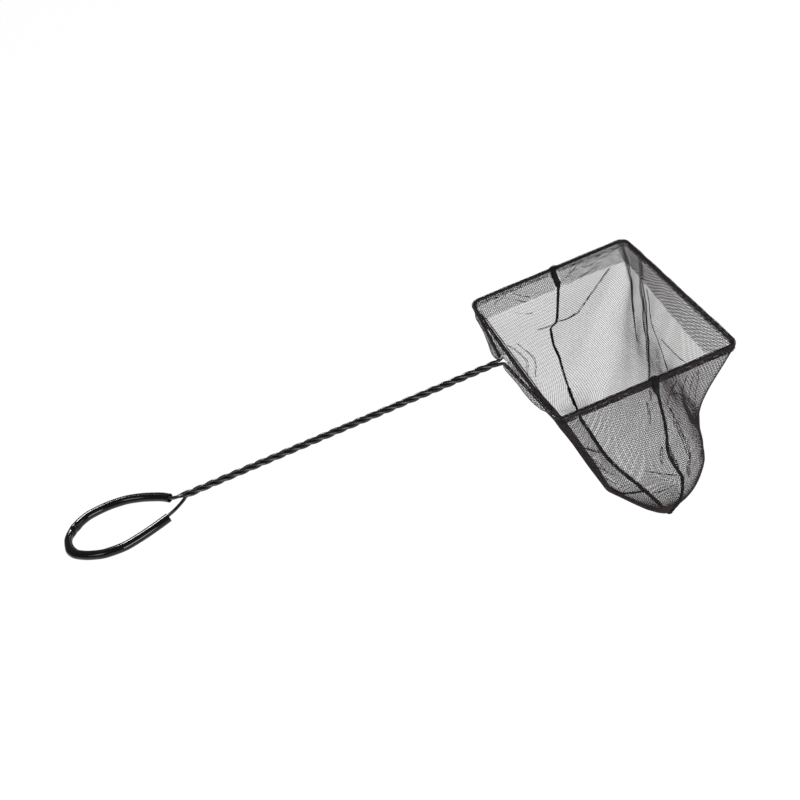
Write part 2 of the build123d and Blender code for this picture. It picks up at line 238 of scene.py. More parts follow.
# Camera fitted to the photograph: its place from the middle of the hoop in millimetres, its axes, its lens.
CAMERA_PLACE = (-185.683, -534.277, 420.406)
CAMERA_RIGHT = (0.91874, -0.28991, -0.26809)
CAMERA_DOWN = (-0.38881, -0.54576, -0.74227)
CAMERA_FORWARD = (0.06888, 0.78619, -0.61413)
CAMERA_LENS, CAMERA_SENSOR = 47.0, 36
# How far the floor lies below the bag in metres, how brightly it shows itself to the camera and with what
# share of its look, and how much of the pale surroundings' light falls on the net.
FLOOR_DROP, FLOOR_GLOW, FLOOR_SHARE = 0.012, 1.02, 0.97
SKY_LIGHT = 0.15
# Lamps: name, place and aim in metres, width and height of the lit face, power in watts.
LAMPS = (
    ("overhead softbox", (-0.125, 0.64, 0.88), (0.1, 0.0, 0.0), 0.25, 0.2, 10.0),
    ("side softbox", (-0.7, -0.5, 0.7), (0.17, 0.0, 0.0), 0.4, 0.4, 2.0),
    ("fill panel", (1.1, -0.6, 0.6), (0.25, 0.0, -0.05), 0.8, 0.8, 3.0),
    ("front strip", (0.16, -1.0, 0.2), (0.16, 0.0, 0.0), 0.6, 0.3, 6.0),
)


class FishNetSizes(bpy.types.PropertyGroup):
    """Sizes of the soft pieces."""

    cell: bpy.props.FloatProperty(
        name="Net cell",
        description="Distance between neighbouring threads of the net",
        default=0.0013,
        unit="LENGTH",
    )
    net_thread: bpy.props.FloatProperty(
        name="Net thread", description="Diameter of the net's thread", default=0.00032, unit="LENGTH"
    )
    sewing_thread: bpy.props.FloatProperty(
        name="Sewing thread", description="Diameter of the sewing thread", default=0.00045, unit="LENGTH"
    )
    hem_allowance: bpy.props.FloatProperty(
        name="Hem allowance",
        description="Net that hangs inside the mouth below the wire",
        default=0.0175,
        unit="LENGTH",
    )
    stitch: bpy.props.FloatProperty(
        name="Stitch", description="Length of one hem stitch", default=0.0026, unit="LENGTH"
    )
    overlock_pitch: bpy.props.FloatProperty(
        name="Overlock pitch",
        description="Distance between turns of the seam's thread",
        default=0.0012,
        unit="LENGTH",
    )
    sleeve_outside: bpy.props.FloatProperty(
        name="Sleeve outside", description="Outside diameter of the grip's tube", default=0.006, unit="LENGTH"
    )
    sleeve_inside: bpy.props.FloatProperty(
        name="Sleeve inside", description="Inside diameter of the grip's tube", default=0.0046, unit="LENGTH"
    )


class FishNetColours(bpy.types.PropertyGroup):
    """Colours of the finishes, as sRGB hex values."""

    wire_coat: bpy.props.StringProperty(
        name="Wire coat", description="Plastic coat of the wire", default="#121214"
    )
    soft_pvc: bpy.props.StringProperty(name="Soft PVC", description="Tube of the grip", default="#0c0c0d")
    nylon: bpy.props.StringProperty(name="Nylon net", description="Thread of the net", default="#261c1d")
    polyester: bpy.props.StringProperty(
        name="Sewing thread", description="Thread of the seams", default="#0e0e10"
    )
    floor: bpy.props.StringProperty(name="Floor", description="Studio floor", default="#f4f4f4")


def linear(colour):
    """sRGB hex to linear RGBA."""
    parts = [int(colour[i : i + 2], 16) / 255 for i in (1, 3, 5)]
    return [p / 12.92 if p <= 0.04045 else ((p + 0.055) / 1.055) ** 2.4 for p in parts] + [1.0]


def node(tree, kind, inputs=None, **settings):
    """Add one shader node, set it up and link or fill its inputs."""
    made = tree.nodes.new(kind)
    for name, value in settings.items():
        setattr(made, name, value)
    for name, value in (inputs or {}).items():
        if isinstance(value, bpy.types.NodeSocket):
            tree.links.new(value, made.inputs[name])
        else:
            made.inputs[name].default_value = value
    return made


def through(at, knots, values):
    """Smooth curve through values at knots, without overshoot."""
    gap = np.diff(knots)
    rise = np.diff(values, axis=0) / (gap if values.ndim == 1 else gap[:, None])
    slope = np.concatenate([rise[:1], rise[1:] * 0, rise[-1:]])
    both = rise[:-1] * rise[1:]
    slope[1:-1] = np.where(both > 0, 2 * both / np.where(both > 0, rise[:-1] + rise[1:], 1), 0)
    i = np.clip(np.searchsorted(knots, at, side="right") - 1, 0, len(gap) - 1)
    h = gap[i]
    t = (at - knots[i]) / h
    if values.ndim == 2:
        h, t = h[:, None], t[:, None]
    return (
        (2 * t**3 - 3 * t**2 + 1) * values[i]
        + (t**3 - 2 * t**2 + t) * h * slope[i]
        + (3 * t**2 - 2 * t**3) * values[i + 1]
        + (t**3 - t**2) * h * slope[i + 1]
    )


def run_lengths(points):
    """Distance along a line of points."""
    return np.concatenate([[0], np.cumsum(np.linalg.norm(np.diff(points, axis=0), axis=1))])


def unit(rows):
    """Each row of a table at length 1."""
    return rows / np.maximum(np.linalg.norm(rows, axis=1, keepdims=True), 1e-9)


def left_of(heading):
    """Level directions to the left of headings seen from above."""
    return np.stack([-heading[:, 1], heading[:, 0], np.zeros(len(heading))], axis=1)


def read_line(points, along, at):
    """Places on a line of points at given distances along it."""
    return np.stack([np.interp(at, along, points[:, k]) for k in range(points.shape[1])], axis=1)


def spaced(points, step):
    """The same line with points about step apart."""
    along = run_lengths(points)
    at = np.linspace(0, along[-1], max(3, round(along[-1] / step) + 1))
    return read_line(points, along, at)


def smoothed(points, rounds):
    """The line with its small kinks eased, its ends kept."""
    eased = points.copy()
    for _ in range(rounds):
        eased[1:-1] = eased[1:-1] / 2 + (eased[:-2] + eased[2:]) / 4
    return eased


def filleted(corners, radii, steps=10):
    """Flat line through corners, each inner one rounded."""
    line = [corners[0]]
    for before, corner, after, radius in zip(corners, corners[1:], corners[2:], radii):
        a, b = before - corner, after - corner
        la, lb = np.linalg.norm(a), np.linalg.norm(b)
        if min(la, lb) < 1e-6:
            line.append(corner)
            continue
        a, b = a / la, b / lb
        half = math.acos(np.clip(a @ b, -1, 1)) / 2
        back = min(radius / math.tan(half), 0.8 * la, 0.8 * lb) if half < 1.57 else 0
        if back < 1e-6:
            line.append(corner)
            continue
        r = back * math.tan(half)
        middle = (a + b) / np.linalg.norm(a + b)
        centre = corner + middle * r / math.sin(half)
        for turn in np.linspace(half - math.pi / 2, math.pi / 2 - half, steps):
            spin = -middle * math.cos(turn)
            side = (b - a) / np.linalg.norm(b - a)
            line.append(centre + r * (spin + side * math.sin(turn)))
    line.append(corners[-1])
    return np.array(line)


def ripple(seed, across, down, count, shortest, longest):
    """Smooth seeded unevenness between about -1 and 1."""
    dice = np.random.default_rng(seed)
    total = np.zeros(np.broadcast(across, down).shape)
    for _ in range(count):
        turn, wave, phase = dice.uniform(0, math.pi), dice.uniform(shortest, longest), dice.uniform(0, 6.28)
        total += np.sin((across * math.cos(turn) + down * math.sin(turn)) * 2 * math.pi / wave + phase)
    return total / math.sqrt(count)


class ClothGrid:
    """A cloth surface as a grid of points, s across and d down in millimetres."""

    def __init__(self, points, s_low, d_low, step):
        self.points, self.s_low, self.d_low, self.step = points, s_low, d_low, step
        across, down = np.gradient(points, axis=1), np.gradient(points, axis=0)
        normal = np.cross(across, down)
        size = np.linalg.norm(normal, axis=2, keepdims=True)
        self.normals = normal / np.maximum(size, 1e-9)

    def read(self, grid, s, d):
        """Values of a grid between its points."""
        u = np.clip((s - self.s_low) / self.step, 0, grid.shape[1] - 1.001)
        v = np.clip((d - self.d_low) / self.step, 0, grid.shape[0] - 1.001)
        i, j = u.astype(int), v.astype(int)
        u, v = (u - i)[:, None], (v - j)[:, None]
        top = grid[j, i] * (1 - u) + grid[j, i + 1] * u
        low = grid[j + 1, i] * (1 - u) + grid[j + 1, i + 1] * u
        return top * (1 - v) + low * v

    def at(self, s, d):
        """Places on the cloth and their normals."""
        return self.read(self.points, s, d), unit(self.read(self.normals, s, d))


def ease_out(points, normals):
    """Drop the points that a straight thread passes close to."""
    keep = [0]
    anchor, last = 0, len(points) - 1
    k = 2
    while k <= last:
        chord = points[k] - points[anchor]
        along = chord / max(np.linalg.norm(chord), 1e-9)
        inner = points[anchor + 1 : k] - points[anchor]
        off = inner - np.outer(inner @ along, along)
        if (off * off).sum(1).max() > THREAD_CUT * THREAD_CUT or k - anchor > 8:
            anchor = k - 1
            keep.append(anchor)
        k += 1
    keep.append(last)
    return points[keep], normals[keep]


def net_threads(cloth, inside, s_range, d_range, cell, lift=None, step=0.65, bias=0):
    """Two families of diagonal threads over a cloth, each a line of points with its normals."""
    reach = s_range[1] - s_range[0] + d_range[1] - d_range[0]
    middle = (s_range[0] + s_range[1]) / 2, (d_range[0] + d_range[1]) / 2
    along = np.arange(-reach / 2, reach / 2, step)
    threads = []
    for lean in (math.radians(bias + 45), math.radians(bias - 45)):
        for across in np.arange(-reach / 2, reach / 2, cell):
            s = middle[0] + along * math.cos(lean) - across * math.sin(lean)
            d = middle[1] + along * math.sin(lean) + across * math.cos(lean)
            good = (s > s_range[0]) & (s < s_range[1]) & (d > d_range[0]) & (d < d_range[1])
            good[good] = inside(s[good], d[good])
            ends = np.flatnonzero(np.diff(np.concatenate([[0], good.astype(int), [0]])))
            for first, stop in zip(ends[::2], ends[1::2]):
                if stop - first < 3:
                    continue
                points, normals = cloth.at(s[first:stop], d[first:stop])
                if lift is not None:
                    points = points + normals * lift(s[first:stop], d[first:stop])[:, None]
                threads.append(ease_out(points, normals))
    return threads


def tubes(lines, radius, sides):
    """Vertices and faces of a tube round each line of points, turned to its normals."""
    vertices, faces = [], []
    count = 0
    turn = np.arange(sides) * 2 * math.pi / sides + math.pi / 2
    for points, normals in lines:
        n = len(points)
        tangent = unit(np.gradient(points, axis=0))
        aside = unit(np.cross(tangent, normals))
        out = np.cross(aside, tangent)
        size = radius if np.isscalar(radius) else radius(points)[:, None, None]
        ring = aside[:, None] * np.cos(turn)[None, :, None] + out[:, None] * np.sin(turn)[None, :, None]
        vertices.append((points[:, None] + ring * size).reshape(-1, 3))
        start = count + np.arange(n - 1)[:, None] * sides
        k = np.arange(sides)[None]
        after = (k + 1) % sides
        quads = np.stack([start + k, start + sides + k, start + sides + after, start + after], axis=2)
        faces.append(quads.reshape(-1, 4))
        count += n * sides
    return np.concatenate(vertices), np.concatenate(faces)


def cloth_object(name, vertices, faces, material):
    """Smooth mesh object from millimetres round the hoop, in the frame's metres."""
    mesh = bpy.data.meshes.new(name)
    place = (np.asarray(vertices) + (HOOP_X, 0, 0)) * MM
    mesh.from_pydata(place.tolist(), [], faces.tolist())
    mesh.polygons.foreach_set("use_smooth", [True] * len(mesh.polygons))
    mesh.materials.append(material)
    mesh.validate()
    mesh.update()
    made = bpy.data.objects.new(name, mesh)
    bpy.context.scene.collection.objects.link(made)
    return made


def finish_piece(piece, slot, *replaced):
    """Tie a finished piece to the frame."""
    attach(piece, "root")
    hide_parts(*replaced)


def bag_rows(step=1.0):
    """Rows of bag levels about a step apart down the middle of the front and back walls."""
    profile = np.stack([(BAG_LEVELS[:, 1] - BAG_LEVELS[:, 3]) / 2, BAG_LEVELS[:, 0]], axis=1)
    knots = run_lengths(profile)
    return through(np.arange(0, knots[-1] + step / 2, step).clip(0, knots[-1]), knots, BAG_LEVELS)


def seam_x(course, z):
    """x of a side seam at a height."""
    return np.interp(-z, -course[:, 0], course[:, 1])


def panel_cloth(front):
    """Cloth of one panel, with how far it reaches to each side in every row."""
    rows = bag_rows()
    far_seam = smoothed(seam_x(SEAM_FAR, rows[:, 0])[:, None], 1)[:, 0]
    near_seam = smoothed(seam_x(SEAM_NEAR, rows[:, 0])[:, None], 6)[:, 0]
    lines = []
    for row, far_x, near_x in zip(rows, far_seam, near_seam):
        z, front_far, front_near, back_far, back_near, far_y, near_y, radius, cut_x, cut_y = row
        if front:
            corners = [
                (far_x, far_y),
                (max(front_far, far_x), far_y),
                (max(front_near, near_x), -near_y),
                (near_x, -near_y),
            ]
            radii = (radius, radius)
        else:
            corners = [
                (near_x, -near_y),
                (min(back_near, near_x), -near_y),
                (cut_x, cut_y),
                (min(back_far, far_x), far_y),
                (far_x, far_y),
            ]
            radii = (0.3 * radius, 0.6 * radius, 0.4 * radius)
        flat = filleted(np.array(corners, float), radii)
        line = np.concatenate([flat, np.full((len(flat), 1), z)], axis=1)
        along = run_lengths(line)
        lines.append((line, along - np.interp(0, flat[:, 1] * (-1 if front else 1), along)))
    low = math.floor(min(along[0] for _, along in lines)) - 1
    high = math.ceil(max(along[-1] for _, along in lines)) + 1
    at = np.arange(low, high + 1.0)
    grid = np.stack([read_line(line, along, at) for line, along in lines])
    reach = np.array([(along[0], along[-1]) for _, along in lines])
    for _ in range(4):
        grid[1:-1] = grid[1:-1] / 2 + (grid[:-2] + grid[2:]) / 4
    low_share = np.clip(1 - (len(grid) - 1 - np.arange(len(grid))) / BOW_ROWS, 0, 1) ** 2
    middle_share = np.exp(-(((grid[:, :, 1] - BOW_Y) / BOW_SPREAD) ** 2))
    grid[:, :, 0] -= SEAM_BOW * low_share[:, None] * middle_share
    return ClothGrid(grid, low, 0, 1.0), reach


def nearest(course, s, d):
    """How far places on a cloth are from a course, and where along it they lie, from 0 to 1."""
    here = np.stack([s, d], axis=1)
    course = np.array(course, float)
    along = run_lengths(course)
    best, share = np.full(len(s), 1e9), np.zeros(len(s))
    for k, step in enumerate(np.diff(course, axis=0)):
        t = np.clip(((here - course[k]) @ step) / (step @ step), 0, 1)
        off = np.linalg.norm(here - course[k] - t[:, None] * step, axis=1)
        share = np.where(off < best, (along[k] + t * (along[k + 1] - along[k])) / along[-1], share)
        best = np.minimum(best, off)
    return best, share


def fold_height(folds, s, d):
    """Height of the given folds over the cloth."""
    total = np.zeros(len(s))
    for height, width, *course in folds:
        off, share = nearest(course, s, d)
        fade = np.clip(np.minimum(share * 6, (1 - share) * 4), 0, 1)
        total += height * fade * np.exp(-((off / width) ** 2))
    return total


def pleat_threads(cloth, pleat, cell, lift):
    """Threads of the two layers that a pleat lays over its panel."""
    widths, *course = pleat
    low, high = np.min(course, axis=0) - max(widths), np.max(course, axis=0) + max(widths)
    stations = np.linspace(0, 1, len(widths))
    threads = []
    for layer in (1, 2):

        def inside(s, d):
            off, share = nearest(course, s, d)
            return off < np.interp(share, stations, widths)

        def raised(s, d):
            off, share = nearest(course, s, d)
            crown = 1 - (off / np.interp(share, stations, widths)) ** 2
            return lift(s, d) + 0.6 * layer * np.sqrt(np.clip(crown, 0.02, 1))

        shift = 0.45 * layer
        s_range, d_range = (low[0] - shift, high[0]), (low[1], high[1] + shift)
        threads += net_threads(cloth, inside, s_range, d_range, cell, raised)
    return threads


def crease_threads(cloth, crease, lift, seed):
    """Threads of the cloth that are drawn together along a crease."""
    count, spread, *course = crease
    course = np.array(course, float)
    knots = run_lengths(course)
    at = np.arange(0, knots[-1], 0.7)
    line = smoothed(through(at, knots, course), 6)
    aside = unit(np.gradient(line, axis=0)[:, ::-1] * (-1, 1))
    close = 0.35 + 0.65 * np.clip(np.minimum(at, at[-1] - at) / 6, 0, 1)
    threads = []
    for k in range(count):
        wander = spread * close * (ripple(seed * 17 + k, at, 0, 4, 7, 30) + (k - (count - 1) / 2) * 0.7)
        s, d = (line + aside * wander[:, None]).T
        points, normals = cloth.at(s, d)
        # Six heights in turn keep the gathered threads out of each other.
        points = points + normals * (lift(s, d) + 0.25 + 0.2 * (k % 6))[:, None]
        threads.append(ease_out(points, normals))
    return threads


def rail_line(front, step):
    """Middle of the hoop wire along one half of the hoop, with the bag on the right hand."""
    if front:
        ends = TACK_X + TACK_HALF
        corners = [(ends, HALF_Y), (HALF_X, HALF_Y), (HALF_X, -HALF_Y), (ends, -HALF_Y)]
        radii = (CORNER_R, CORNER_R)
    else:
        ends = TACK_X - TACK_HALF
        corners = [(ends, -HALF_Y), (-HALF_X, -HALF_Y), (-HALF_X - VEE, 0), (-HALF_X, HALF_Y), (ends, HALF_Y)]
        radii = (CORNER_R, 1.0, CORNER_R)
    return spaced(filleted(np.array(corners, float), radii), step)


def hem_profile(gap, sag, allowance):
    """Section of the hem: up from the stitches outside the wire, over it, back to them and down inside."""
    r = WIRE_R + 0.4
    drop = [-STITCH_DROP - (allowance - STITCH_DROP) * share for share in (0.25, 0.6, 1.0)]
    return np.array(
        [
            (0.7 - gap, -3.6),
            (0.7 * r - 0.5 * gap + 0.1 * sag, -1.9 - 0.7 * sag),
            (r + 0.4 * sag, -0.2 - 0.7 * sag),
            (r + 0.1 * sag, 0.2 - 0.2 * sag),
            (0.7 * r, 0.75 * r),
            (0.0, r),
            (-0.7 * r, 0.75 * r),
            (-r - 0.3 * gap, 0.1),
            (-gap - 0.9, -1.8),
            (-gap - 0.5, -STITCH_DROP),
            (-gap - 0.8, drop[0]),
            (-gap - 1.1, drop[1]),
            (-gap - 1.2, drop[2]),
        ]
    )


def wall_draw(y, facing, z):
    """How far the front or back wall has drawn in from the hoop at a height, along x."""
    near = np.clip(0.5 - y / 2 / HALF_Y, 0, 1)
    first = 1 if facing > 0 else 3
    x = BAG_LEVELS[:, first] * (1 - near) + BAG_LEVELS[:, first + 1] * near
    return (np.interp(-z, -BAG_LEVELS[:, 0], x) - x[0]) * abs(facing)


def hem_cloth(front, allowance, step=0.5):
    """Cloth of one half's hem, with its length across, the rail it hangs on and the distances along that."""
    rail = rail_line(front, step)
    outward = left_of(unit(smoothed(np.gradient(rail, axis=0), 4)))
    on_leg = np.clip((HALF_Y - 2 * CORNER_R - np.abs(rail[:, 1])) / CORNER_R, 0, 1) * (not front)
    gap = np.clip(-HALF_X - rail[:, 0], 0, None) * on_leg
    along = np.arange(len(rail)) * step
    off_point = 1 - on_leg * np.exp(-((np.abs(rail[:, 1]) / 9) ** 2))
    sag = on_leg * off_point * (LEG_SAG + LEG_SAG_CHANGE * ripple(5, along, 0, 3, 30, 60))
    columns, lengths = [], []
    uneven = 0.15 * ripple(8 + front, along, 0, 5, 8, 25)
    # The allowance is crumpled on the far rail and narrow on the near one.
    crumple = np.clip((rail[:, 1] - 66) / 8, 0.08, 1) * (0.8 if front else 0.3)
    near = np.clip((-rail[:, 1] - 52) / 22, 0, 1)
    hang = allowance * (1 - near) + NEAR_ALLOWANCE * near
    for k in range(len(rail)):
        profile = hem_profile(gap[k], sag[k], hang[k])
        knots = run_lengths(profile)
        lengths.append(knots[-1])
        columns.append((profile, knots))
    across = np.arange(0, max(lengths) + step, step)
    grid = np.zeros((len(across), len(rail), 3))
    for k, (profile, knots) in enumerate(columns):
        line = through(np.minimum(across, knots[-1]), knots, profile)
        loose = np.clip((across - knots[STITCH_POINT]) / 4, 0, 1) * crumple[k]
        stray = uneven[k] + loose * ripple(41, across, along[k], 7, 4, 14)
        grid[:, k] = np.append(rail[k], 0) + outward[k] * (line[:, :1] + stray[:, None]) + UP * line[:, 1:]
        grid[:, k, 0] += wall_draw(rail[k, 1], outward[k, 0], line[:, 1])
    return ClothGrid(grid, 0, 0, step), np.array(lengths), rail, along


def hem_creases(front, along, rail, lengths, allowance):
    """Gathers of the hem, each with how far it lies inward of the cloth."""
    # Threads drawn together along the near rail.
    near = along[rail[:, 1] < -HALF_Y + 1]
    courses = ([(s, d) for s in np.linspace(near[0] - 2, near[-1] + 2, 9)] for d in (1.2, 3.0))
    creases = [(0.0, (5, 0.4, *course)) for course in courses]
    if not front:
        # The allowance of the handle side, bunched below its stitches.
        loose = along[np.abs(rail[:, 1]) < HALF_Y - 2 * CORNER_R]
        places = np.linspace(loose[0], loose[-1], 25)
        stitched = np.interp(places, along, lengths) - (allowance - STITCH_DROP)
        for below, inward in ((-0.6, 0.0), (1.0, 1.1), (2.4, 2.2)):
            creases.append((inward, (4, 0.4, *zip(places, stitched + below))))
    # Short creases in the far allowance.
    dice = np.random.default_rng(7 + front)
    far = along[rail[:, 1] > HALF_Y - 1]
    for _ in range(26 if front else 8):
        s = dice.uniform(far[0] + 4, far[-1] - 2)
        d = dice.uniform(11, np.interp(s, along, lengths) - 3)
        turn, bend = dice.uniform(-0.7, 0.9), dice.uniform(-1.5, 1.5)
        half = dice.uniform(2, 5)
        reach = np.array((math.cos(turn), math.sin(turn))) * half
        course = (s - reach[0], d - reach[1]), (s, d + bend), (s + reach[0], d + reach[1])
        creases.append((0.0, (2, 0.4, *course)))
    return creases


def helix(line, normals, wide, thick, pitch, seed, per_turn=8):
    """Thread wound round a line, a little unevenly, with its own normals."""
    fine = spaced(np.concatenate([line, normals], axis=1), pitch / per_turn)
    middle, normal = fine[:, :3], unit(fine[:, 3:])
    tangent = unit(np.gradient(middle, axis=0))
    aside = unit(np.cross(tangent, normal))
    normal = np.cross(aside, tangent)
    along = run_lengths(middle)
    turn = along * 2 * math.pi / pitch + 0.9 * ripple(seed, along, 0, 4, 6 * pitch, 20 * pitch)
    swell = 1 + 0.12 * ripple(seed + 1, along, 0, 6, 3 * pitch, 15 * pitch)
    out = aside * (np.cos(turn) * wide)[:, None] + normal * (np.sin(turn) * thick)[:, None]
    radial = aside * np.cos(turn)[:, None] + normal * np.sin(turn)[:, None]
    return middle + out * swell[:, None], radial


def joined(parts):
    """Several lots of vertices and faces as one."""
    vertices, faces, count = [], [], 0
    for v, f in parts:
        vertices.append(v)
        faces.append(f + count)
        count += len(v)
    return np.concatenate(vertices), np.concatenate(faces)


def seam_line():
    """The bag's seam from the far side down, along the bottom and up the near side, with outward normals."""
    cloth, reach = panel_cloth(True)
    rows = np.arange(len(reach), dtype=float)
    far, _ = cloth.at(reach[:, 0], rows)
    near, _ = cloth.at(reach[:, 1], rows)
    across = np.arange(reach[-1, 0], reach[-1, 1], 1.0)[1:-1]
    low, _ = cloth.at(across, np.full(len(across), rows[-1]))
    line = smoothed(np.concatenate([far, low, near[::-1]]), 1)
    ways = np.array([(0, 1, 0), (0, 0, -1), (0, -1, 0)], float)
    out = smoothed(np.repeat(ways, (len(far), len(low), len(near)), axis=0), 60)
    return line, unit(out)


def blank_material(name):
    """New material without nodes, and its node tree."""
    material = bpy.data.materials.new(name)
    material.use_nodes = True
    material.node_tree.nodes.clear()
    return material, material.node_tree


def net_material(name, colour, roughness):
    """Thread twisted from many fine fibres, dyed a little unevenly, matt with a faint lustre."""
    material, tree = blank_material(name)
    place = node(tree, "ShaderNodeTexCoord").outputs["Object"]
    patches = node(tree, "ShaderNodeTexNoise", {"Vector": place, "Scale": 1000 / PATCH_MM, "Detail": 3.0})
    shade = node(tree, "ShaderNodeMapRange", {"Value": patches.outputs["Fac"], "To Min": 0.7, "To Max": 1.5})
    tone = node(tree, "ShaderNodeVectorMath", {0: linear(colour)[:3]}, operation="SCALE")
    tree.links.new(shade.outputs["Result"], tone.inputs["Scale"])
    surface = node(
        tree,
        "ShaderNodeBsdfPrincipled",
        {
            "Base Color": tone.outputs["Vector"],
            "Roughness": roughness,
            "IOR": 1.53,
            "Specular IOR Level": 0.25,
        },
    )
    node(tree, "ShaderNodeOutputMaterial", {"Surface": surface.outputs["BSDF"]})
    return material


def gloss_material(name, colour, rough_low, rough_high, grain_mm, depth_mm, shine):
    """Smooth black plastic with a slightly uneven, handled surface."""
    material, tree = blank_material(name)
    place = node(tree, "ShaderNodeTexCoord").outputs["Object"]
    grain = node(tree, "ShaderNodeTexNoise", {"Vector": place, "Scale": 1000 / grain_mm, "Detail": 4.0})
    rough = node(
        tree, "ShaderNodeMapRange", {"Value": grain.outputs["Fac"], "To Min": rough_low, "To Max": rough_high}
    )
    bump = node(
        tree, "ShaderNodeBump", {"Height": grain.outputs["Fac"], "Strength": 0.15, "Distance": depth_mm * MM}
    )
    surface = node(
        tree,
        "ShaderNodeBsdfPrincipled",
        {
            "Base Color": linear(colour),
            "Roughness": rough.outputs["Result"],
            "IOR": 1.53,
            "Specular IOR Level": shine,
            "Normal": bump.outputs["Normal"],
        },
    )
    node(tree, "ShaderNodeOutputMaterial", {"Surface": surface.outputs["BSDF"]})
    return material


class FISHNET_OT_stage(bpy.types.Operator):
    """Set the camera, the floor, the lamps and the pale surroundings"""

    bl_idname = "fish_net.stage"
    bl_label = "Stage"

    def execute(self, context):
        scene = context.scene
        bpy.ops.object.select_all(action="DESELECT")
        bpy.ops.object.camera_add()
        camera = context.object
        spot = (np.array(CAMERA_PLACE) + (HOOP_X, 0, 0)) * MM
        axes = CAMERA_RIGHT, [-v for v in CAMERA_DOWN], [-v for v in CAMERA_FORWARD]
        turn = Matrix(axes).transposed().to_4x4()
        camera.matrix_world = Matrix.Translation(spot) @ turn
        camera.data.sensor_width = CAMERA_SENSOR
        camera.data.lens = CAMERA_LENS
        camera.data.clip_start = 0.01
        scene.camera = camera
        scene.view_settings.view_transform = "Standard"

        bpy.ops.mesh.primitive_plane_add(size=8, location=(HOOP_X * MM, 0, CAD_BOX[0][2] - FLOOR_DROP))
        floor = context.object
        floor.name = "studio_floor"
        bpy.ops.object.transform_apply(location=True, rotation=True, scale=True)
        # Matt white paper, lit so that it shows as plain white with a trace of the net's shadow.
        paper, tree = blank_material("white studio paper")
        lit = node(tree, "ShaderNodeBsdfDiffuse", {"Color": linear(scene.fish_net_colours.floor)})
        glow = node(tree, "ShaderNodeEmission", {"Color": (1, 1, 1, 1), "Strength": FLOOR_GLOW})
        path = node(tree, "ShaderNodeLightPath")
        seen = node(
            tree,
            "ShaderNodeMath",
            {0: path.outputs["Is Camera Ray"], 1: path.outputs["Is Transmission Ray"]},
            operation="MAXIMUM",
        )
        seen = node(
            tree,
            "ShaderNodeMath",
            {0: seen.outputs["Value"], 1: path.outputs["Is Glossy Ray"]},
            operation="MAXIMUM",
        )
        share = node(
            tree, "ShaderNodeMath", {0: seen.outputs["Value"], 1: FLOOR_SHARE}, operation="MULTIPLY"
        )
        both = node(
            tree,
            "ShaderNodeMixShader",
            {0: share.outputs["Value"], 1: lit.outputs["BSDF"], 2: glow.outputs["Emission"]},
        )
        node(tree, "ShaderNodeOutputMaterial", {"Surface": both.outputs["Shader"]})
        floor.data.materials.append(paper)

        world = bpy.data.worlds.new("pale studio")
        scene.world = world
        world.use_nodes = True
        tree = world.node_tree
        tree.nodes.clear()
        path = node(tree, "ShaderNodeLightPath")
        seen = node(
            tree,
            "ShaderNodeMath",
            {0: path.outputs["Is Camera Ray"], 1: path.outputs["Is Transmission Ray"]},
            operation="MAXIMUM",
        )
        strength = node(
            tree, "ShaderNodeMapRange", {"Value": seen.outputs["Value"], "To Min": SKY_LIGHT, "To Max": 1.0}
        )
        sky = node(
            tree, "ShaderNodeBackground", {"Color": (1, 1, 1, 1), "Strength": strength.outputs["Result"]}
        )
        node(tree, "ShaderNodeOutputWorld", {"Surface": sky.outputs["Background"]})

        for name, place, aim, wide, tall, power in LAMPS:
            bpy.ops.object.light_add(type="AREA", location=place)
            lamp = context.object
            lamp.name = name
            lamp.data.shape = "RECTANGLE"
            lamp.data.size = wide
            lamp.data.size_y = tall
            lamp.data.energy = power
            gaze = np.array(aim) - np.array(place)
            yaw, tilt = math.atan2(gaze[1], gaze[0]), math.atan2(-gaze[2], math.hypot(gaze[0], gaze[1]))
            lamp.rotation_euler = (math.pi / 2 - tilt, 0, yaw - math.pi / 2)
        return {"FINISHED"}


class FISHNET_OT_wire(bpy.types.Operator):
    """Give the wire of the hoop, shaft and loop its plastic coat"""

    bl_idname = "fish_net.wire"
    bl_label = "Coated wire"

    def execute(self, context):
        # Steel wire with an extruded plastic coat: smooth, satin, with crisp lengthwise highlights.
        black = context.scene.fish_net_colours.wire_coat
        coat = gloss_material(
            "extruded plastic coat on steel wire",
            black,
            rough_low=0.16,
            rough_high=0.28,
            grain_mm=1.2,
            depth_mm=0.03,
            shine=0.5,
        )
        for name in WIRE_NODES:
            NODES[name].data.materials.clear()
            NODES[name].data.materials.append(coat)
        return {"FINISHED"}


